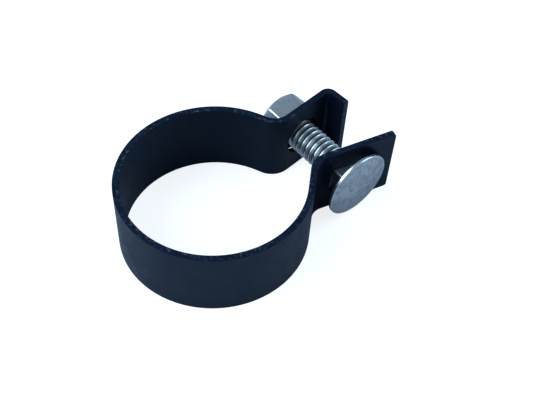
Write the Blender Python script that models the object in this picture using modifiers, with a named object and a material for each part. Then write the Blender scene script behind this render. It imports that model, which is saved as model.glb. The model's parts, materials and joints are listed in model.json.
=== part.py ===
"""Hose clamp: a painted steel band with two ears, drawn shut by a carriage bolt and a hex nut.

The band lies on its edge with the pipe axis vertical. +X runs from the ring out between the ears.
One strip of steel makes the whole band. It flexes opposite the ears, so it is cut there into two
nodes, joined by a hinge that stands for the flexing.
"""

import math

import bmesh
import bpy
from mathutils import Vector

MM = 0.001
INCH = 0.0254

# Band: strip bent on edge. Plan angles are in degrees, anticlockwise from +X at the ring's centre.
BAND_WIDTH = 0.75 * INCH
BAND_THICKNESS = 1.5 * MM
RING_CENTRE = Vector((-10.24, -0.02, 0)) * MM  # puts the origin below the middle of the clamp's box
RING_RADIUS = 21.49 * MM  # to the middle of the strip
RING_OVAL = 0.017  # the open ring is this share longer along its long axis
RING_LONG_AXIS = -21.3
FLEX_ANGLE = 201.1  # where the band flexes, opposite the ears
FLEX_GAP = 0.45 * MM
EAR_SPLAY = 9.4  # each ear leans this far from +X
RING_STEP = 3.0  # degrees between the points of the ring
BEND_STEP = 7.5  # and of a bend

# Ear on the bolt head's side: a straight run off the ring, a bend, then a flat ear
BOLT_SIDE_RING_END = -40.8
BOLT_SIDE_RUN = 6.13 * MM
BOLT_SIDE_BEND = 4.59 * MM
BOLT_EAR_LENGTH = 18.38 * MM
BOLT_EAR_CORNER = 0.7 * MM
SQUARE_HOLE = (9.2 * MM, 8.5 * MM)  # along the ear, across it

# Ear on the nut's side: the same, shorter, and ending in a lip that turns in to the other ear
NUT_SIDE_RING_END = 26.6
NUT_SIDE_RUN = 1.09 * MM
NUT_SIDE_BEND = 4.9 * MM
NUT_EAR_LENGTH = 11.86 * MM
LIP_BEND = 1.57 * MM
LIP_LENGTH = 4.48 * MM
LIP_CORNER = 0.4 * MM
ROUND_HOLE_RADIUS = 5 * MM

# Bolt: 5/16 inch carriage bolt, 1 1/8 inch long, threaded up to its square neck.
# It is made along its own Z, with its origin at the centre of the head's underside.
BOLT_HEAD_CENTRE = Vector((31.219, -12.783)) * MM  # in plan, from the ring's centre
BOLT_LEAN = 5.25  # degrees from square to +X
HEAD_TO_BOLT_EAR = 3.35 * MM  # along the bolt, to the middle of each ear's strip
HEAD_TO_NUT_EAR = 19.9 * MM
BOLT_LENGTH = 1.125 * INCH
THREAD_PITCH = INCH / 18
THREAD_RADIUS = 0.155 * INCH
THREAD_DEPTH = 0.6134 * THREAD_PITCH
THREAD_STEPS = 20  # facets in one turn
RIDGE_SUNK = 0.08 * MM  # how far a thread's ridge is sunk in its core
HEAD_RADIUS = 8.6 * MM
HEAD_RIM = 0.9 * MM
HEAD_CROWN = 1.2 * MM
HEAD_EDGE_ROUND = 0.2 * MM
NECK_WIDTH = 7.85 * MM
NECK_LENGTH = 5.5 * MM
NECK_CORNER = 0.5 * MM
THREAD_START = -4.7 * MM  # a crest passes here, on the side that faces along the bolt's X
TIP_CHAMFER = 0.8 * MM

# Nut: 5/16 inch hex nut, made in the bolt's own axes
NUT_FLATS = 12.45 * MM
NUT_HEIGHT = 6.55 * MM
NUT_INNER_FACE = -21.28 * MM
NUT_TURN = -22.0  # degrees about the bolt, which puts the corners where they stopped
NUT_FACE_RADIUS = 5.9 * MM
NUT_CHAMFER = 43.0
NUT_THREAD_DEPTH = 0.5413 * THREAD_PITCH  # shallower than the bolt's, as in all such nuts
THREAD_CLEARANCE = 0.1 * MM
COUNTERSINK = 0.3 * MM

TURNED_STEPS = 40
REACH = 1 * MM  # how far a cutter runs past what it cuts
SUNK = 0.3 * MM  # how far a joined shape runs into its neighbour

PAINT = ((0.012, 0.014, 0.02, 1), 0.4, 0.0)
ZINC = ((0.55, 0.58, 0.62, 1), 0.33, 1.0)

parts = bpy.data.collections.new("hose_clamp")
cutters = bpy.data.collections.new("cutters")


def clear_scene():
    for old in list(bpy.data.objects):
        bpy.data.objects.remove(old)
    for collection in (parts, cutters):
        bpy.context.scene.collection.children.link(collection)


def add_object(name, mesh, is_cutter=False, parent=None):
    made = bpy.data.objects.new(name, mesh)
    (cutters if is_cutter else parts).objects.link(made)
    made.parent = parent
    if is_cutter:
        made.hide_render = True
        made.display_type = "WIRE"
    return made


def add_empty(name, location, turn=(0, 0, 0), parent=None):
    made = add_object(name, None, parent=parent)
    made.location = location
    made.rotation_euler = turn
    return made


def mesh_from(bm, name):
    mesh = bpy.data.meshes.new(name)
    bm.to_mesh(mesh)
    bm.free()
    return mesh


def finish_surface(part, look):
    """Gives a part its own material, and smooth shading between its sharp edges."""
    color, roughness, metallic = look
    material = bpy.data.materials.new(part.name)
    material.use_nodes = True
    shader = material.node_tree.nodes["Principled BSDF"]
    shader.inputs["Base Color"].default_value = color
    shader.inputs["Roughness"].default_value = roughness
    shader.inputs["Metallic"].default_value = metallic
    part.data.materials.append(material)
    part.data.shade_smooth()
    part.data.set_sharp_from_angle(angle=math.radians(35))


def boolean(part, other, operation):
    modifier = part.modifiers.new(f"{operation.lower()} {other.name}", "BOOLEAN")
    modifier.operation = operation
    modifier.solver = "EXACT"
    modifier.object = other


def ring_point(angle):
    """Point on the ring's middle line. The open ring is slightly oval."""
    oval = RING_OVAL * math.cos(2 * math.radians(angle - RING_LONG_AXIS))
    turn = math.radians(angle)
    return Vector((math.cos(turn), math.sin(turn))) * RING_RADIUS * (1 + oval)


def heading_vector(heading):
    return Vector((math.cos(math.radians(heading)), math.sin(math.radians(heading))))


def add_bend(points, heading, radius, new_heading):
    """Carries a plan line round an arc, to a new heading. Headings are in degrees."""
    turn = new_heading - heading
    side = math.copysign(90, turn)
    centre = points[-1] + radius * heading_vector(heading + side)
    steps = math.ceil(abs(turn) / BEND_STEP)
    for step in range(1, steps + 1):
        points.append(centre - radius * heading_vector(heading + turn * step / steps + side))


def add_run(points, heading, length):
    points.append(points[-1] + length * heading_vector(heading))


def ring_line(start, end):
    """Ring points from one plan angle to another, and the heading at the last."""
    steps = math.ceil(abs(end - start) / RING_STEP)
    points = [ring_point(start + (end - start) * step / steps) for step in range(steps + 1)]
    way = math.copysign(0.01, end - start)
    tangent = ring_point(end + way) - ring_point(end)
    return points, math.degrees(math.atan2(tangent.y, tangent.x))


def bolt_side_line():
    half_gap = math.degrees(FLEX_GAP / 2 / RING_RADIUS)
    points, heading = ring_line(FLEX_ANGLE + half_gap, BOLT_SIDE_RING_END + 360)
    add_run(points, heading, BOLT_SIDE_RUN)
    add_bend(points, heading, BOLT_SIDE_BEND, -EAR_SPLAY)
    add_run(points, -EAR_SPLAY, BOLT_EAR_LENGTH)
    return points


def nut_side_line():
    half_gap = math.degrees(FLEX_GAP / 2 / RING_RADIUS)
    points, heading = ring_line(FLEX_ANGLE - half_gap, NUT_SIDE_RING_END)
    add_run(points, heading, NUT_SIDE_RUN)
    add_bend(points, heading, NUT_SIDE_BEND, EAR_SPLAY)
    add_run(points, EAR_SPLAY, NUT_EAR_LENGTH)
    lip_heading = EAR_SPLAY - 90
    add_bend(points, EAR_SPLAY, LIP_BEND, lip_heading)
    add_run(points, lip_heading, LIP_LENGTH)
    return points


def add_band(name, line, origin, corner, parent):
    """Stands a strip on its plan line, rounds the corners of its free end, and gives it its gauge."""
    bm = bmesh.new()
    low = [bm.verts.new((point.x - origin.x, point.y - origin.y, 0)) for point in line]
    edges = [bm.edges.new(pair) for pair in zip(low, low[1:])]
    raised = bmesh.ops.extrude_edge_only(bm, edges=edges)["geom"]
    high = [item for item in raised if isinstance(item, bmesh.types.BMVert)]
    bmesh.ops.translate(bm, verts=high, vec=(0, 0, BAND_WIDTH))
    end = low[-1].co.xy
    corners = [vert for vert in bm.verts if (vert.co.xy - end).length < 0.01 * MM]
    bmesh.ops.bevel(bm, geom=corners, offset=corner, segments=4, profile=0.5, affect="VERTICES")
    band = add_object(name, mesh_from(bm, name), parent=parent)
    band.location = (origin.x, origin.y, 0)
    gauge = band.modifiers.new("gauge", "SOLIDIFY")
    gauge.thickness = BAND_THICKNESS
    gauge.offset = 0
    gauge.use_even_offset = True
    finish_surface(band, PAINT)
    return band


def turned(name, profile, parent, steps=TURNED_STEPS, is_cutter=True):
    """Spins an (axial, radius) profile, listed from top to bottom, about Z."""
    bm = bmesh.new()
    verts = [bm.verts.new((radius, 0, axial)) for axial, radius in profile]
    for pair in zip(verts, verts[1:]):
        bm.edges.new(pair)
    made = add_object(name, mesh_from(bm, name), is_cutter, parent)
    spin = made.modifiers.new("turned", "SCREW")
    spin.steps = spin.render_steps = steps
    spin.use_merge_vertices = True
    spin.merge_threshold = 0.01 * MM
    spin.use_smooth_shade = False
    return made


def add_block(name, size, centre, parent, corner=0.0):
    """A box whose four edges along Z may be rounded."""
    bm = bmesh.new()
    bmesh.ops.create_cube(bm, size=1)
    bmesh.ops.scale(bm, verts=bm.verts, vec=size)
    if corner:
        upright = [e for e in bm.edges if abs(e.verts[0].co.z - e.verts[1].co.z) > size[2] / 2]
        bmesh.ops.bevel(bm, geom=upright, offset=corner, segments=3, profile=0.5, affect="EDGES")
    block = add_object(name, mesh_from(bm, name), is_cutter=True, parent=parent)
    block.location = centre
    return block


def add_ridge(name, core_radius, grow, top, turns, parent):
    """A thread's one helical ridge, wound down its core. Its flanks and crest stand out by grow."""
    root, crest = core_radius - RIDGE_SUNK, THREAD_RADIUS + grow
    crest_half = THREAD_PITCH / 16 + grow
    root_half = crest_half + (crest - root) * math.tan(math.radians(30))
    section = [(root, -root_half), (crest, -crest_half), (crest, crest_half), (root, root_half)]
    bm = bmesh.new()
    face = bm.faces.new([bm.verts.new((radius, 0, top + axial)) for radius, axial in section])
    bmesh.ops.spin(
        bm,
        geom=[face, *face.edges, *face.verts],
        axis=(0, 0, -1),
        dvec=(0, 0, -THREAD_PITCH / THREAD_STEPS),
        angle=math.tau * turns,
        steps=round(turns * THREAD_STEPS),
    )
    bmesh.ops.recalc_face_normals(bm, faces=bm.faces)
    return add_object(name, mesh_from(bm, name), is_cutter=True, parent=parent)


def add_bolt(parent):
    """Carriage bolt: domed head with a rim, square neck, and a thread cut to a chamfered tip."""
    crown_edge = HEAD_RADIUS - HEAD_EDGE_ROUND
    shares = [step / 6 for step in range(7)]
    crown = [(HEAD_RIM + HEAD_CROWN * (1 - share**2), crown_edge * share) for share in shares]
    rim = [(HEAD_RIM - HEAD_EDGE_ROUND, HEAD_RADIUS), (HEAD_EDGE_ROUND, HEAD_RADIUS), (0, crown_edge)]
    bolt = turned("carriage_bolt", [*crown, *rim, (0, 0)], parent, is_cutter=False)
    finish_surface(bolt, ZINC)

    neck_size = (NECK_WIDTH, NECK_WIDTH, NECK_LENGTH + SUNK)
    neck = add_block("neck", neck_size, (0, 0, (SUNK - NECK_LENGTH) / 2), parent, NECK_CORNER)

    core_radius = THREAD_RADIUS - THREAD_DEPTH
    top, tip = -NECK_LENGTH + 2 * SUNK, -BOLT_LENGTH
    core = [(top, 0), (top, core_radius), (tip - REACH, core_radius), (tip - REACH, 0)]
    shank = turned("shank", core, parent, THREAD_STEPS)
    turns = (BOLT_LENGTH - NECK_LENGTH) / THREAD_PITCH + 2
    ridge = add_ridge("bolt_thread", core_radius, 0, THREAD_START, turns, parent)
    boolean(shank, ridge, "UNION")
    chamfer_top, outside = tip + TIP_CHAMFER, THREAD_RADIUS + REACH
    blank = [
        (-NECK_LENGTH + SUNK, 0),
        (-NECK_LENGTH + SUNK, outside),
        (chamfer_top + REACH, outside),
        (tip, THREAD_RADIUS - TIP_CHAMFER),
        (tip, 0),
    ]
    boolean(shank, turned("shank_blank", blank, parent), "INTERSECT")

    boolean(bolt, neck, "UNION")
    boolean(bolt, shank, "UNION")


def add_nut(parent):
    """Hex nut: a piece of hexagonal bar, chamfered on both faces, bored and tapped."""
    bm = bmesh.new()
    corner_radius = NUT_FLATS / math.sqrt(3)
    depth = NUT_HEIGHT + 2 * REACH
    bmesh.ops.create_cone(
        bm, cap_ends=True, segments=6, radius1=corner_radius, radius2=corner_radius, depth=depth
    )
    nut = add_object("hex_nut", mesh_from(bm, "hex_nut"), parent=parent)
    nut.location.z = NUT_INNER_FACE - NUT_HEIGHT / 2
    nut.rotation_euler.z = math.radians(NUT_TURN)
    finish_surface(nut, ZINC)

    high, low = NUT_INNER_FACE, NUT_INNER_FACE - NUT_HEIGHT
    skirt = corner_radius + REACH
    fall = (skirt - NUT_FACE_RADIUS) * math.tan(math.radians(NUT_CHAMFER))
    blank = [(high, 0), (high, NUT_FACE_RADIUS), (high - fall, skirt)]
    blank += [(low + fall, skirt), (low, NUT_FACE_RADIUS), (low, 0)]
    boolean(nut, turned("nut_blank", blank, parent), "INTERSECT")

    bore = THREAD_RADIUS - NUT_THREAD_DEPTH + THREAD_CLEARANCE
    sink = NUT_THREAD_DEPTH + COUNTERSINK
    mouth = bore + sink + REACH
    drilled = [(high + REACH, 0), (high + REACH, mouth), (high - sink, bore)]
    drilled += [(low + sink, bore), (low - REACH, mouth), (low - REACH, 0)]
    tap = turned("tap", drilled, parent, THREAD_STEPS)
    turns_above = math.floor((-high - NECK_LENGTH) / THREAD_PITCH) - 1
    top = THREAD_START - turns_above * THREAD_PITCH
    turns = math.ceil(NUT_HEIGHT / THREAD_PITCH) + 3
    boolean(tap, add_ridge("tap_thread", bore, THREAD_CLEARANCE, top, turns, parent), "UNION")
    boolean(nut, tap, "DIFFERENCE")


def add_clamp():
    ring = add_empty("ring_centre", RING_CENTRE)
    lean = (math.radians(90), 0, math.radians(BOLT_LEAN))
    bolt_axis = add_empty("bolt_axis", (*BOLT_HEAD_CENTRE, BAND_WIDTH / 2), lean, ring)

    nut_band = add_band("strap_nut_side", nut_side_line(), Vector((0, 0)), LIP_CORNER, ring)
    flex = ring_point(FLEX_ANGLE)
    bolt_band = add_band("strap_bolt_side", bolt_side_line(), flex, BOLT_EAR_CORNER, ring)
    add_bolt(bolt_axis)
    add_nut(bolt_axis)

    along, across = SQUARE_HOLE
    ear_middle = BOLT_HEAD_CENTRE + HEAD_TO_BOLT_EAR * heading_vector(90 + BOLT_LEAN)
    centre = (*ear_middle, BAND_WIDTH / 2)
    punch = add_block("square_hole", (along, 4 * BAND_THICKNESS, across), centre, ring)
    punch.rotation_euler.z = math.radians(-EAR_SPLAY)
    boolean(bolt_band, punch, "DIFFERENCE")

    near, far = -HEAD_TO_NUT_EAR + 4 * BAND_THICKNESS, -HEAD_TO_NUT_EAR - 4 * BAND_THICKNESS
    drill = [(near, 0), (near, ROUND_HOLE_RADIUS), (far, ROUND_HOLE_RADIUS), (far, 0)]
    boolean(nut_band, turned("round_hole", drill, bolt_axis), "DIFFERENCE")


clear_scene()
add_clamp()
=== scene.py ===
import json
import math
from bisect import bisect_right
from itertools import accumulate

import bmesh
import bpy
from mathutils import Matrix, Vector


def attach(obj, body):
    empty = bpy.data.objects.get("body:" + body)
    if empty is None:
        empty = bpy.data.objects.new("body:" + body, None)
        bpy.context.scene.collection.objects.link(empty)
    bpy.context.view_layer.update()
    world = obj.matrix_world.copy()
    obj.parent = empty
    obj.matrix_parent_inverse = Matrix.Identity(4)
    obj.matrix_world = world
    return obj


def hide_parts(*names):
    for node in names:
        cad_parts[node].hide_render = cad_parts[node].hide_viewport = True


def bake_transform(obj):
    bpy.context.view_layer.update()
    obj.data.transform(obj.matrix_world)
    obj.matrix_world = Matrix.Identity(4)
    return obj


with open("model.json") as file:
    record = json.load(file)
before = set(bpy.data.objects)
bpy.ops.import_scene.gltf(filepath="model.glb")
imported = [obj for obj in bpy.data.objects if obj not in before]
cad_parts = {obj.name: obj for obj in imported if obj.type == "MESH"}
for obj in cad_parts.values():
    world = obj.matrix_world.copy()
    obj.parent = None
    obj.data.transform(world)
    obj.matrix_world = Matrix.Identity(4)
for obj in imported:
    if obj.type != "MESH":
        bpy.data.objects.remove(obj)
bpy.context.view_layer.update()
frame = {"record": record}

# Strap, plan line. The band is one strip of 16-gauge mild steel bent on edge: a ring that is slightly
# oval while it is open, then for each ear a short straight run, a bend, and a flat.
# The nut's ear ends in a lip that turns in towards the other ear.
joints = {joint["name"]: joint for joint in frame["record"]["behaviour"]["joints"]}
MM = 0.001
STRAP_WIDTH = 19.05 * MM
STRAP_GAUGE = 1.5 * MM
RING_RADIUS = 21.49 * MM
RING_OVAL, RING_LONG_AXIS = 0.017, -21.3  # share of the radius, and degrees, as all angles here are
FLEX_ANGLE = 201.1  # opposite the ears, where the band gives
EAR_SPLAY = 9.4
BOLT_SIDE_RING_END, NUT_SIDE_RING_END = 360 - 40.8, 26.6
BOLT_SIDE_RUN, BOLT_SIDE_BEND, BOLT_EAR_LENGTH = 6.13 * MM, 4.59 * MM, 18.38 * MM
NUT_SIDE_RUN, NUT_SIDE_BEND, NUT_EAR_LENGTH = 1.09 * MM, 4.9 * MM, 11.86 * MM
LIP_BEND, LIP_LENGTH = 1.57 * MM, 4.48 * MM
RING_STEP, BEND_STEP = 3.0, 5.0  # degrees to a facet
HAIR = 0.01 * MM  # closer than this is touching


def heading_vector(heading):
    return Vector((math.cos(math.radians(heading)), math.sin(math.radians(heading))))


def ring_point(angle):
    """Point on the ring's middle line, from the ring's centre."""
    oval = RING_OVAL * math.cos(2 * math.radians(angle - RING_LONG_AXIS))
    return heading_vector(angle) * RING_RADIUS * (1 + oval)


def ring_heading(angle, way):
    step = ring_point(angle + way * 0.01) - ring_point(angle)
    return math.degrees(math.atan2(step.y, step.x))


def arm_line(ring_end, way, legs):
    """Points along the line from the ring's flex point to an ear's end. Each leg is a bend or a run."""
    steps = math.ceil(abs(ring_end - FLEX_ANGLE) / RING_STEP)
    turn = (ring_end - FLEX_ANGLE) / steps
    points = [ring_point(FLEX_ANGLE + turn * step) for step in range(steps + 1)]
    heading = ring_heading(ring_end, way)
    for radius, new_heading, length in legs:
        turn = new_heading - heading
        if radius:
            side = math.copysign(90, turn)
            centre = points[-1] + radius * heading_vector(heading + side)
            steps = math.ceil(abs(turn) / BEND_STEP)
            for step in range(1, steps + 1):
                points.append(centre - radius * heading_vector(heading + turn * step / steps + side))
        heading = new_heading
        points.append(points[-1] + length * heading_vector(heading))
    return points


bolt_side_heading = ring_heading(BOLT_SIDE_RING_END, 1)
nut_side_heading = ring_heading(NUT_SIDE_RING_END, -1)
bolt_side = arm_line(
    BOLT_SIDE_RING_END,
    1,
    [
        (0, bolt_side_heading, BOLT_SIDE_RUN),
        (BOLT_SIDE_BEND, -EAR_SPLAY, BOLT_EAR_LENGTH),
    ],
)
nut_side = arm_line(
    NUT_SIDE_RING_END,
    -1,
    [
        (0, nut_side_heading, NUT_SIDE_RUN),
        (NUT_SIDE_BEND, EAR_SPLAY, NUT_EAR_LENGTH),
        (LIP_BEND, EAR_SPLAY - 90, LIP_LENGTH),
    ],
)
flex_point = Vector(joints["strap_flex"]["pos_m"]).xy
ring_centre = flex_point - ring_point(FLEX_ANGLE)
strap_line = [ring_centre + point for point in [*reversed(bolt_side), *nut_side[1:]]]
stations = list(accumulate(((b - a).length for a, b in zip(strap_line, strap_line[1:])), initial=0))
strap_length = stations[-1]


def line_normals(line):
    """Unit normals, to the right of the line, that halve the corner at each point."""
    ways = [(b - a).normalized() for a, b in zip(line, line[1:])]
    halves = [(a + b).normalized() for a, b in zip([ways[0], *ways], [*ways, ways[-1]])]
    return [Vector((half.y, -half.x)) for half in halves]


strap_normals = line_normals(strap_line)


def bent(flat):
    """Where a point of the flat strip (along, through the gauge, up) goes when the strip is bent."""
    index = min(bisect_right(stations, flat.x) - 1, len(stations) - 2)
    index = max(index, 0)
    share = (flat.x - stations[index]) / (stations[index + 1] - stations[index])
    spot = strap_line[index].lerp(strap_line[index + 1], share)
    out = strap_normals[index].lerp(strap_normals[index + 1], share)
    out /= out.dot((strap_normals[index] + strap_normals[index + 1]).normalized())
    spot = spot + out * flat.y
    return Vector((spot.x, spot.y, flat.z))


# Strap, blank. It is sheared to length with its corners knocked off, and punched flat: a square hole
# near the end that takes the bolt's neck, a round one at the other. Punching and tumbling leave
# every rim rounded, and the strip is bent only afterwards.
BOLT_EAR_CORNER, LIP_CORNER = 0.7 * MM, 0.4 * MM
RIM_ROUND = 0.32 * MM
INNER_RIM_WEAR = 0.1  # against the outer rim, which takes the knocks
SQUARE_HOLE = (9.2 * MM, 8.5 * MM)
SQUARE_HOLE_CORNER = 0.9 * MM
ROUND_HOLE_RADIUS = 5 * MM
HEAD_TO_BOLT_EAR, HEAD_TO_NUT_EAR, HEAD_TO_NUT_MIDDLE = 3.35 * MM, 19.9 * MM, 24.555 * MM

to_head = Vector(joints["nut_spin"]["axis"]).normalized()
nut_middle = Vector(joints["nut_spin"]["pos_m"])
head_seat = nut_middle + HEAD_TO_NUT_MIDDLE * to_head
square_centre = (head_seat - HEAD_TO_BOLT_EAR * to_head).xy
round_centre = (head_seat - HEAD_TO_NUT_EAR * to_head).xy
square_along = (square_centre - strap_line[0]).length
lip_bend_start = ring_centre + nut_side[-2 - math.ceil(90 / BEND_STEP)]
round_along = stations[strap_line.index(lip_bend_start)] - (lip_bend_start - round_centre).length


def link(name, bm):
    mesh = bpy.data.meshes.new(name)
    bm.to_mesh(mesh)
    bm.free()
    made = bpy.data.objects.new(name, mesh)
    bpy.context.scene.collection.objects.link(made)
    return made


def rectangle(along, up, corners):
    """The outline of a sheet that stands on its edge, with its corners rounded. Radii go round from low X."""
    bm = bmesh.new()
    places = ((-0.5, -0.5), (0.5, -0.5), (0.5, 0.5), (-0.5, 0.5))
    verts = [bm.verts.new((x * along, 0, z * up)) for x, z in places]
    bm.faces.new(verts)
    for vert, radius in zip(verts, corners):
        bmesh.ops.bevel(
            bm, geom=[vert], offset=radius, segments=6, profile=0.5, affect="VERTICES", material=-1
        )
    bmesh.ops.delete(bm, geom=list(bm.faces), context="FACES_ONLY")
    return bm


def blank_strip():
    """The flat strip with its two holes, gauge thick, every rim rounded. The bolt's ear is at low X."""
    ends = (BOLT_EAR_CORNER, LIP_CORNER, LIP_CORNER, BOLT_EAR_CORNER)
    strip = rectangle(strap_length, STRAP_WIDTH, ends)
    square = rectangle(*SQUARE_HOLE, [SQUARE_HOLE_CORNER] * 4)
    circle = bmesh.new()
    bmesh.ops.create_circle(circle, radius=ROUND_HOLE_RADIUS, segments=64)
    bmesh.ops.rotate(circle, verts=circle.verts, matrix=Matrix.Rotation(math.radians(90), 3, "X"))
    bm = bmesh.new()
    for outline, along in ((strip, strap_length / 2), (square, square_along), (circle, round_along)):
        bmesh.ops.translate(outline, verts=outline.verts, vec=(along, 0, STRAP_WIDTH / 2))
        mesh = bpy.data.meshes.new("outline")
        outline.to_mesh(mesh)
        outline.free()
        bm.from_mesh(mesh)
        bpy.data.meshes.remove(mesh)
    bmesh.ops.triangle_fill(bm, use_beauty=True, use_dissolve=False, edges=bm.edges, normal=(0, -1, 0))
    raised = bmesh.ops.extrude_face_region(bm, geom=list(bm.faces), use_keep_orig=True)["geom"]
    top = [item for item in raised if isinstance(item, bmesh.types.BMVert)]
    bmesh.ops.translate(bm, verts=bm.verts, vec=(0, STRAP_GAUGE / 2, 0))
    bmesh.ops.translate(bm, verts=top, vec=(0, -STRAP_GAUGE, 0))
    bmesh.ops.recalc_face_normals(bm, faces=bm.faces)
    level = [edge for edge in bm.edges if abs(edge.verts[0].co.y - edge.verts[1].co.y) < HAIR]
    rims = [edge for edge in level if edge.calc_face_angle() > 1]
    bmesh.ops.bevel(
        bm, geom=rims, offset=RIM_ROUND, segments=3, profile=0.5, affect="EDGES", material=-1,
        clamp_overlap=True,
    )
    return bm


bm = blank_strip()
for station in stations[1:-1]:
    bmesh.ops.bisect_plane(
        bm, geom=[*bm.verts, *bm.edges, *bm.faces], plane_co=(station, 0, 0), plane_no=(1, 0, 0), dist=1e-6
    )
bmesh.ops.recalc_face_normals(bm, faces=bm.faces)
flat_place = bm.verts.layers.float_vector.new("strip")
rim_share = bm.verts.layers.float.new("rim")
for vert in bm.verts:
    vert[flat_place] = vert.co
    depth = STRAP_GAUGE / 2 - abs(vert.co.y)
    inset = min(vert.co.x, strap_length - vert.co.x, vert.co.z, STRAP_WIDTH - vert.co.z)
    if inset < RIM_ROUND and HAIR < depth < RIM_ROUND - HAIR:
        vert[rim_share] = 1 if vert.co.y > 0 else INNER_RIM_WEAR
    vert.co = bent(vert.co)
bmesh.ops.recalc_face_normals(bm, faces=bm.faces)
strap = link("strap", bm)
strap.data.shade_smooth()
smoothing = strap.modifiers.new("flat faces stay flat", "WEIGHTED_NORMAL")
smoothing.keep_sharp = True
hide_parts("strap_nut_side", "strap_bolt_side")
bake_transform(strap)

# Strap, paint. Black enamel with a blue cast, sprayed over the bent strap. It shows a little orange
# peel, dries cloudy, and is scuffed along the strip and chipped to bare steel on the rims.


def feed(tree, node, inputs):
    """Gives each input a value, or the output that feeds it."""
    for name, value in inputs.items():
        if isinstance(value, bpy.types.NodeSocket):
            tree.links.new(value, node.inputs[name])
        else:
            node.inputs[name].default_value = value


def add_node(tree, kind, inputs, **settings):
    made = tree.nodes.new("ShaderNode" + kind)
    for name, value in settings.items():
        setattr(made, name, value)
    feed(tree, made, inputs)
    return made


def noise(tree, place, scale, detail=2.0, roughness=0.5, distortion=0.0):
    """Soft random values about a half. A higher scale makes smaller patches."""
    inputs = {"Vector": place, "Scale": scale, "Detail": detail, "Roughness": roughness}
    return add_node(tree, "TexNoise", {**inputs, "Distortion": distortion}).outputs[0]


def calculated(tree, operation, *values):
    """One sum on values that vary over the surface."""
    return add_node(tree, "Math", dict(enumerate(values)), operation=operation).outputs[0]


def spread(tree, value, low, high, to_low=0.0, to_high=1.0):
    """Eases a value from one range to another, and holds it there."""
    inputs = {"Value": value, "From Min": low, "From Max": high, "To Min": to_low, "To Max": to_high}
    return add_node(tree, "MapRange", inputs, interpolation_type="SMOOTHSTEP").outputs[0]


def mixed(tree, share, first, second):
    """The first colour, turned to the second by a share."""
    return add_node(tree, "Mix", {0: share, 6: first, 7: second}, data_type="RGBA").outputs[2]


def effect(name, inputs, output):
    """A new group that puts out one value. Gives its tree, its inputs by name, and its output."""
    tree = bpy.data.node_groups.new(name, "ShaderNodeTree")
    tree.interface.new_socket("Vector", in_out="INPUT", socket_type="NodeSocketVector")
    for socket in inputs:
        tree.interface.new_socket(socket, in_out="INPUT", socket_type="NodeSocketFloat")
    tree.interface.new_socket(output, in_out="OUTPUT", socket_type="NodeSocketFloat")
    return tree, tree.nodes.new("NodeGroupInput").outputs, tree.nodes.new("NodeGroupOutput").inputs[output]


def use_effect(tree, group, **inputs):
    """Places a group in a material with its own values."""
    made = add_node(tree, "Group", {}, node_tree=group)
    feed(tree, made, inputs)
    return made.outputs[0]


mottling, given, output = effect("mottling", ["Scale", "Contrast"], "Mask")
broad = noise(mottling, given["Vector"], given["Scale"], 3.0, 0.6, 0.6)
centred = calculated(mottling, "SUBTRACT", broad, 0.5)
mask = calculated(mottling, "MULTIPLY_ADD", centred, given["Contrast"], 0.5)
mottling.links.new(spread(mottling, mask, 0.0, 1.0), output)

grain, given, output = effect("grain", ["Scale"], "Height")
coarse = noise(grain, given["Vector"], given["Scale"], 2.0)
fine_scale = calculated(grain, "MULTIPLY", given["Scale"], 3.7)
fine = noise(grain, given["Vector"], fine_scale, 1.0)
grain.links.new(calculated(grain, "MULTIPLY_ADD", fine, 0.35, coarse), output)

edge_wear, given, output = effect("edge_wear", ["Edge", "Scale", "Amount"], "Mask")
patches = noise(edge_wear, given["Vector"], given["Scale"], 4.0, 0.65)
kept_share = calculated(edge_wear, "SUBTRACT", 1.0, given["Amount"])
worn = calculated(edge_wear, "SUBTRACT", patches, kept_share)
worn = spread(edge_wear, worn, 0.0, 0.05)
edge_wear.links.new(calculated(edge_wear, "MULTIPLY", worn, given["Edge"]), output)

scuffing, given, output = effect("scuffing", ["Scale", "Amount"], "Mask")
stretch = add_node(scuffing, "VectorMath", {0: given["Vector"], 1: (0.06, 1.0, 1.0)}, operation="MULTIPLY")
lines = noise(scuffing, stretch.outputs[0], given["Scale"], 1.0, 0.5, 0.4)
lines = calculated(scuffing, "ABSOLUTE", calculated(scuffing, "SUBTRACT", lines, 0.5))
lines = spread(scuffing, lines, 0.0, 0.012, 1.0, 0.0)
sparse_scale = calculated(scuffing, "MULTIPLY", given["Scale"], 0.12)
sparse = noise(scuffing, given["Vector"], sparse_scale, 2.0)
sparse = spread(scuffing, sparse, 0.56, 0.7)
scuffed = calculated(scuffing, "MULTIPLY", lines, sparse)
scuffing.links.new(calculated(scuffing, "MULTIPLY", scuffed, given["Amount"]), output)


def new_finish(name):
    """A material, its node tree, its shader, and the object coordinates that its patterns read."""
    material = bpy.data.materials.new(name)
    material.use_nodes = True
    tree = material.node_tree
    place = tree.nodes.new("ShaderNodeTexCoord").outputs["Object"]
    return material, tree, tree.nodes["Principled BSDF"], place


def own_value(tree, name, output="Fac"):
    return add_node(tree, "Attribute", {}, attribute_name=name).outputs[output]


ENAMEL_DARK, ENAMEL_LIGHT = (0.0016, 0.0038, 0.0125, 1), (0.0032, 0.0066, 0.0195, 1)
SCUFF_GREY, BARE_STEEL = (0.02, 0.03, 0.045, 1), (0.085, 0.11, 0.15, 1)

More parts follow.
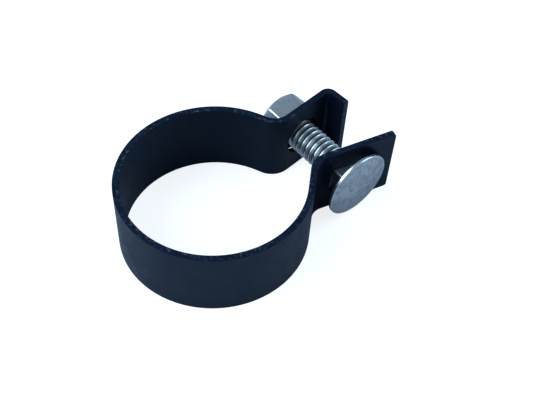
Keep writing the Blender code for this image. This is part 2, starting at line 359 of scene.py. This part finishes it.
enamel, tree, shader, place = new_finish("black_enamel")
along = own_value(tree, "strip", "Vector")
cloud = use_effect(tree, mottling, Vector=place, Scale=170, Contrast=2.4)
scuff = use_effect(tree, scuffing, Vector=along, Scale=900, Amount=0.55)
worn_stretch = spread(tree, noise(tree, place, 55, 1.0), 0.34, 0.5)
worn_rim = calculated(tree, "MULTIPLY", own_value(tree, "rim"), worn_stretch)
chip = use_effect(tree, edge_wear, Vector=along, Edge=worn_rim, Scale=1100, Amount=0.44)
pits = noise(tree, along, 330, 1.0)
pits = spread(tree, pits, 0.735, 0.78)
color = mixed(tree, cloud, ENAMEL_DARK, ENAMEL_LIGHT)
color = mixed(tree, scuff, color, SCUFF_GREY)
color = mixed(tree, chip, color, BARE_STEEL)
tree.links.new(color, shader.inputs["Base Color"])
gloss = spread(tree, cloud, 0.0, 1.0, 0.36, 0.46)
gloss = calculated(tree, "MULTIPLY_ADD", scuff, 0.25, gloss)
tree.links.new(gloss, shader.inputs["Roughness"])
tree.links.new(calculated(tree, "MULTIPLY", chip, 0.7), shader.inputs["Metallic"])
peel = use_effect(tree, grain, Vector=place, Scale=1100)
height = calculated(tree, "MULTIPLY_ADD", chip, -1.2, peel)
height = calculated(tree, "MULTIPLY_ADD", pits, -2.5, height)
relief = add_node(tree, "Bump", {"Height": height, "Distance": 0.02 * MM, "Strength": 1.0})
tree.links.new(relief.outputs[0], shader.inputs["Normal"])
shader.inputs["Specular IOR Level"].default_value = 0.3
shader.inputs["Specular Tint"].default_value = (0.4, 0.7, 1, 1)
strap.data.materials.append(enamel)

# Carriage bolt. Cold-headed from steel wire and zinc plated: a low domed round head with a narrow rim,
# a square neck, and a rolled 5/16 inch thread right up to the neck. It is made along its own Z,
# from the seat of its head, and then laid on the bolt's axis.
THREAD_PITCH = 25.4 / 18 * MM
THREAD_RADIUS = 3.937 * MM
THREAD_DEPTH = 0.6134 * THREAD_PITCH
HALF_CREST = 1 / 12  # share of a pitch that is flat, each way from the ridge's middle
RIDGE_STEPS, FLANK_ROUND = 10, 0.3
RUBBED_CREST = 0.12  # share of the thread's depth
BOLT_LENGTH = 28.575 * MM
HEAD_RADIUS, HEAD_RIM, HEAD_CROWN = 8.6 * MM, 0.9 * MM, 1.2 * MM
HEAD_EDGE_ROUND, CROWN_STEPS = 0.22 * MM, 14
NECK_WIDTH, NECK_LENGTH, NECK_CORNER = 7.85 * MM, 5.5 * MM, 0.55 * MM
THREAD_START, SHANK_TURNS = -4.7 * MM, 21  # a crest passes the start on the bolt's own X side
NECK_SUNK, NECK_RIM_ROUND = 0.4 * MM, 0.25 * MM  # into the head, and round the neck's end
TIP_CHAMFER = 0.8 * MM
SHANK_SUNK = 0.3 * MM  # into the neck
REACH = 1 * MM  # how far a cutting shape runs past what it cuts
TURN_STEPS, TURNED_STEPS = 64, 128  # facets round a thread, and round turned work

lean = math.atan2(to_head.x, -to_head.y)
laid_down = Matrix.Rotation(lean, 4, "Z") @ Matrix.Rotation(math.radians(90), 4, "X")
bolt_place = Matrix.Translation(head_seat) @ laid_down


def turned(name, profile, steps=TURNED_STEPS):
    """A solid of revolution about Z from a (radius, axial) line that starts and ends on the axis."""
    bm = bmesh.new()
    verts = [bm.verts.new((radius, 0, axial)) for radius, axial in profile]
    edges = [bm.edges.new(pair) for pair in zip(verts, verts[1:])]
    bmesh.ops.spin(bm, geom=[*verts, *edges], axis=(0, 0, 1), angle=math.tau, steps=steps, use_merge=True)
    bmesh.ops.remove_doubles(bm, verts=bm.verts, dist=1e-6)
    bmesh.ops.recalc_face_normals(bm, faces=bm.faces)
    return link(name, bm)


def threaded(name, grow, depth, top, turns):
    """A threaded rod about Z, closed at both ends by a cone inside it. Its surface stands out by grow."""
    bm = bmesh.new()
    crest = THREAD_RADIUS + grow
    crest_share = HALF_CREST + grow / THREAD_PITCH
    flank_share = depth * math.tan(math.radians(30)) / THREAD_PITCH
    line = []
    for step in range(-RIDGE_STEPS, RIDGE_STEPS + 1):
        share = step / RIDGE_STEPS / 2
        fall = min(max((abs(share) - crest_share) / flank_share, 0), 1)
        fall = (1 - FLANK_ROUND) * fall + FLANK_ROUND * fall * fall * (3 - 2 * fall)
        line.append((crest - fall * depth, top - share * THREAD_PITCH))
    verts = [bm.verts.new((radius, 0, axial)) for radius, axial in line]
    edges = [bm.edges.new(pair) for pair in zip(verts, verts[1:])]
    bmesh.ops.spin(
        bm, geom=[*verts, *edges], axis=(0, 0, -1), dvec=(0, 0, -THREAD_PITCH / TURN_STEPS),
        angle=math.tau * turns, steps=turns * TURN_STEPS,
    )
    bmesh.ops.remove_doubles(bm, verts=bm.verts, dist=1e-6)
    middle = top - turns * THREAD_PITCH / 2
    open_edges = [edge for edge in bm.edges if edge.is_boundary]
    for above in (True, False):
        rim = [edge for edge in open_edges if (edge.verts[0].co.z > middle) == above]
        made = bmesh.ops.extrude_edge_only(bm, edges=rim)["geom"]
        ring = [item for item in made if isinstance(item, bmesh.types.BMVert)]
        end = top if above else top - turns * THREAD_PITCH
        bmesh.ops.pointmerge(bm, verts=ring, merge_co=(0, 0, end))
    bmesh.ops.recalc_face_normals(bm, faces=bm.faces)
    return link(name, bm)


def combine(part, other, operation):
    """Cuts, joins or keeps what is common, then removes the other solid."""
    modifier = part.modifiers.new(operation.lower(), "BOOLEAN")
    modifier.operation, modifier.object, modifier.solver = operation, other, "EXACT"
    mesh = bpy.data.meshes.new_from_object(part.evaluated_get(bpy.context.evaluated_depsgraph_get()))
    part.modifiers.clear()
    part.data = mesh
    bpy.data.objects.remove(other)


def arc_line(centre, radius, start, end, steps):
    """Points of a profile round an arc. Angles are in degrees from the radius towards +Z."""
    angles = (math.radians(start + (end - start) * step / steps) for step in range(steps + 1))
    return [(centre[0] + radius * math.cos(a), centre[1] + radius * math.sin(a)) for a in angles]


crown_edge = HEAD_RADIUS - HEAD_EDGE_ROUND
crown_shares = [step / CROWN_STEPS for step in range(CROWN_STEPS + 1)]
head_line = [
    *((crown_edge * share, HEAD_RIM + HEAD_CROWN * (1 - share**2)) for share in crown_shares),
    *arc_line((crown_edge, HEAD_RIM - HEAD_EDGE_ROUND), HEAD_EDGE_ROUND, 70, 0, 4),
    *arc_line((crown_edge, HEAD_EDGE_ROUND), HEAD_EDGE_ROUND, 0, -90, 4),
    (0, 0),
]
bolt = turned("carriage_bolt_body", head_line)

bm = bmesh.new()
bmesh.ops.create_cube(bm, size=1)
bmesh.ops.scale(bm, verts=bm.verts, vec=(NECK_WIDTH, NECK_WIDTH, NECK_LENGTH + NECK_SUNK))
bmesh.ops.translate(bm, verts=bm.verts, vec=(0, 0, -NECK_LENGTH / 2 + NECK_SUNK / 2))
upright = [edge for edge in bm.edges if abs(edge.verts[0].co.z - edge.verts[1].co.z) > NECK_LENGTH / 2]
bmesh.ops.bevel(bm, geom=upright, offset=NECK_CORNER, segments=5, profile=0.5, affect="EDGES", material=-1)
low_rim = [edge for edge in bm.edges if all(vert.co.z < -NECK_LENGTH + HAIR for vert in edge.verts)]
bmesh.ops.bevel(bm, geom=low_rim, offset=NECK_RIM_ROUND, segments=3, profile=0.5, affect="EDGES", material=-1)
neck = link("neck", bm)

shank = threaded("shank", 0, THREAD_DEPTH, THREAD_START + 2 * THREAD_PITCH, SHANK_TURNS)
outside, tip = THREAD_RADIUS + REACH, -BOLT_LENGTH
shank_top, chamfer_top = -NECK_LENGTH + SHANK_SUNK, tip + TIP_CHAMFER + REACH
blank_line = [(0, shank_top), (outside, shank_top), (outside, chamfer_top)]
blank_line += [(THREAD_RADIUS - TIP_CHAMFER, tip), (0, tip)]
combine(shank, turned("shank_blank", blank_line), "INTERSECT")
combine(bolt, neck, "UNION")
combine(bolt, shank, "UNION")
# Painted shade: how deep a point sits in the thread's groove sets how dark its thread root is painted.
shade_mask = bolt.data.attributes.new("shade_mask", "FLOAT", "POINT")
edge = bolt.data.attributes.new("edge", "FLOAT", "POINT")
for vert, hollow, corner in zip(bolt.data.vertices, shade_mask.data, edge.data):
    reach = vert.co.xy.length
    if vert.co.z < -NECK_LENGTH:
        hollow.value = min(max((THREAD_RADIUS - reach) / THREAD_DEPTH, 0), 1)
        corner.value = hollow.value < RUBBED_CREST
    elif reach > crown_edge + 2 * HAIR:
        corner.value = 1
bolt.data.transform(bolt_place)
bolt.data.shade_smooth()
bolt.data.set_sharp_from_angle(angle=math.radians(40))
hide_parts("carriage_bolt")
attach(bolt, "bolt")

# Zinc plate, on the bolt and the nut. Barrel plated and passivated with a blue tint: it dulls in clouds,
# is rubbed bright on its corners and crests, and has painted shade, near black, in its thread roots and nut
# bore.
ZINC_DULL, ZINC_BRIGHT = (0.4, 0.405, 0.43, 1), (0.7, 0.7, 0.725, 1)
ZINC_RUBBED, PAINTED_SHADE = (0.84, 0.85, 0.86, 1), (0.03, 0.04, 0.048, 1)

zinc, tree, shader, place = new_finish("zinc_plate")
cloud = use_effect(tree, mottling, Vector=place, Scale=560, Contrast=3.2)
speckle = use_effect(tree, mottling, Vector=place, Scale=1700, Contrast=3.0)
rubbed = use_effect(tree, edge_wear, Vector=place, Edge=own_value(tree, "edge"), Scale=500, Amount=0.75)
scuff = use_effect(tree, scuffing, Vector=place, Scale=1500, Amount=0.7)
# Painted shade: near black down the thread roots, in the nut's bore and on the nut's face against the ear.
shade_share = spread(tree, own_value(tree, "shade_mask"), 0.45, 1.0, 0.0, 0.9)
blotch = calculated(tree, "MULTIPLY_ADD", speckle, 0.35, calculated(tree, "MULTIPLY", cloud, 0.65))
color = mixed(tree, blotch, ZINC_DULL, ZINC_BRIGHT)
color = mixed(tree, rubbed, color, ZINC_RUBBED)
color = mixed(tree, shade_share, color, PAINTED_SHADE)
tree.links.new(color, shader.inputs["Base Color"])
gloss = spread(tree, blotch, 0.0, 1.0, 0.46, 0.34)
gloss = calculated(tree, "MULTIPLY_ADD", rubbed, -0.08, gloss)
gloss = calculated(tree, "MULTIPLY_ADD", scuff, 0.12, gloss)
tree.links.new(gloss, shader.inputs["Roughness"])
shader.inputs["Metallic"].default_value = 1
height = use_effect(tree, grain, Vector=place, Scale=1900)
height = calculated(tree, "MULTIPLY_ADD", scuff, -0.8, height)
relief = add_node(tree, "Bump", {"Height": height, "Distance": 0.012 * MM, "Strength": 1.0})
tree.links.new(relief.outputs[0], shader.inputs["Normal"])
bolt.data.materials.append(zinc)

# Hex nut. A zinc-plated steel nut, half an inch across its flats, chamfered on both faces by turning,
# which leaves an arc on each flat. It is countersunk and tapped, and sits against the ear.
NUT_FLATS, NUT_HEIGHT = 12.45 * MM, 6.55 * MM
NUT_FACE_RADIUS, NUT_CHAMFER = 5.9 * MM, 43
NUT_TURN = -22.0
NUT_THREAD_DEPTH, TAP_TURNS = 0.5413 * THREAD_PITCH, 10
THREAD_CLEARANCE = 0.1 * MM
COUNTERSINK = 0.3 * MM
SHADED_DEPTH = 1 * MM  # how far the painted shade reaches in from the inner face
NUT_CORNER_ROUND, NUT_WORN_EDGE = 0.22 * MM, 0.35 * MM

corner_radius = NUT_FLATS / math.sqrt(3)
bm = bmesh.new()
bmesh.ops.create_cone(
    bm, cap_ends=True, segments=6, radius1=corner_radius, radius2=corner_radius, depth=NUT_HEIGHT + 2 * REACH
)
upright = [edge for edge in bm.edges if abs(edge.verts[0].co.z - edge.verts[1].co.z) > NUT_HEIGHT / 2]
bmesh.ops.bevel(
    bm, geom=upright, offset=NUT_CORNER_ROUND, segments=4, profile=0.5, affect="EDGES", material=-1
)
bmesh.ops.rotate(bm, verts=bm.verts, matrix=Matrix.Rotation(math.radians(NUT_TURN), 3, "Z"))
bmesh.ops.translate(bm, verts=bm.verts, vec=(0, 0, -HEAD_TO_NUT_MIDDLE))
nut = link("hex_nut_body", bm)
high, low = -HEAD_TO_NUT_MIDDLE + NUT_HEIGHT / 2, -HEAD_TO_NUT_MIDDLE - NUT_HEIGHT / 2
skirt = corner_radius + REACH
fall = (skirt - NUT_FACE_RADIUS) * math.tan(math.radians(NUT_CHAMFER))
blank_line = [(0, high), (NUT_FACE_RADIUS, high), (skirt, high - fall)]
blank_line += [(skirt, low + fall), (NUT_FACE_RADIUS, low), (0, low)]
combine(nut, turned("nut_blank", blank_line), "INTERSECT")
mouth = THREAD_RADIUS + THREAD_CLEARANCE + COUNTERSINK
for face, way in ((high, 1), (low, -1)):
    drill_line = [(0, face + way * REACH), (mouth + REACH, face + way * REACH), (0, face - way * mouth)]
    combine(nut, turned("countersink", drill_line), "DIFFERENCE")
turns_above = math.floor((-high - NECK_LENGTH) / THREAD_PITCH) - 1
tap_top = THREAD_START - turns_above * THREAD_PITCH
combine(nut, threaded("tap", THREAD_CLEARANCE, NUT_THREAD_DEPTH, tap_top, TAP_TURNS), "DIFFERENCE")
bm = bmesh.new()
bm.from_mesh(nut.data)
flats = [face for face in bm.faces if abs(face.normal.z) < 0.01 and face.calc_area() > NUT_FLATS**2 / 10]
bmesh.ops.inset_individual(bm, faces=flats, thickness=NUT_WORN_EDGE)
edge, shade_mask = (bm.verts.layers.float.new(layer) for layer in ("edge", "shade_mask"))
for vert in bm.verts:
    reach = vert.co.xy.length
    # The bore and the face against the ear get painted shade.
    on_inner_face = reach < NUT_FACE_RADIUS + HAIR and vert.co.z > high - SHADED_DEPTH
    vert[shade_mask] = reach < THREAD_RADIUS or on_inner_face
    vert[edge] = reach > NUT_FACE_RADIUS + HAIR
for vert in {vert for face in flats for vert in face.verts}:
    vert[edge] = 0
bm.to_mesh(nut.data)
bm.free()
nut.data.transform(bolt_place)
nut.data.shade_smooth()
nut.data.set_sharp_from_angle(angle=math.radians(35))
nut.data.materials.append(zinc)
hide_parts("hex_nut")
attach(nut, "nut")

# Stage. A plain pale floor under a large soft light, high behind on the left, and a weaker one from
# the front right, in a dim cool room. The floor glows to the camera alone, so it shows as clean white.
FLOOR_REACH = 3
bm = bmesh.new()
bmesh.ops.create_grid(bm, x_segments=1, y_segments=1, size=FLOOR_REACH)
floor = link("floor", bm)
floor_look, floor_tree, shader, _ = new_finish("pale_floor")
shader.inputs["Base Color"].default_value = (0.47, 0.49, 0.56, 1)
shader.inputs["Roughness"].default_value = 0.8
shader.inputs["Specular IOR Level"].default_value = 0.2
shader.inputs["Emission Color"].default_value = (0.8, 0.8, 0.8, 1)
seen = add_node(floor_tree, "LightPath", {})
floor_tree.links.new(seen.outputs["Is Camera Ray"], shader.inputs["Emission Strength"])
floor.data.materials.append(floor_look)

world = bpy.data.worlds.new("room")
world.use_nodes = True
world.node_tree.nodes["Background"].inputs["Color"].default_value = (0.5, 0.75, 1, 1)
world.node_tree.nodes["Background"].inputs["Strength"].default_value = 0.3
bpy.context.scene.world = world


def soft_light(name, direction, distance, size, power, color):
    """A square softbox that faces the clamp from a direction."""
    lamp = bpy.data.lights.new(name, "AREA")
    lamp.size, lamp.energy, lamp.color = size, power, color
    made = bpy.data.objects.new(name, lamp)
    bpy.context.scene.collection.objects.link(made)
    made.location = Vector(direction).normalized() * distance
    made.rotation_euler = made.location.to_track_quat("Z", "Y").to_euler()


COOL_WHITE = (0.65, 0.87, 1)
soft_light("key", (-0.66, 0.36, 0.66), 0.7, 0.72, 6.3, COOL_WHITE)
soft_light("fill", (0.78, -0.3, 0.55), 1.2, 0.8, 8, COOL_WHITE)

# Camera. It looks down on the clamp from the bolt head's side, over the left of the ring, with a slight
# roll. Its angles are in degrees, from straight ahead along Y and from level.
CAMERA_TURN, CAMERA_RISE, CAMERA_ROLL = -37.69, 52.77, 3.65
CAMERA_DISTANCE = 220.75 * MM
RING_TO_TARGET = Vector((10.81, -5.42)) * MM
lens = bpy.data.cameras.new("camera")
lens.lens, lens.sensor_width = 64.45, 36
camera = bpy.data.objects.new("camera", lens)
bpy.context.scene.collection.objects.link(camera)
target = Vector((*(ring_centre + RING_TO_TARGET), STRAP_WIDTH / 2))
camera.matrix_world = (
    Matrix.Translation(target)
    @ Matrix.Rotation(math.radians(CAMERA_TURN), 4, "Z")
    @ Matrix.Rotation(math.radians(90 - CAMERA_RISE), 4, "X")
    @ Matrix.Rotation(math.radians(CAMERA_ROLL), 4, "Z")
    @ Matrix.Translation((0, 0, CAMERA_DISTANCE))
)
bpy.context.scene.camera = camera
bpy.context.scene.view_settings.view_transform = "Standard"
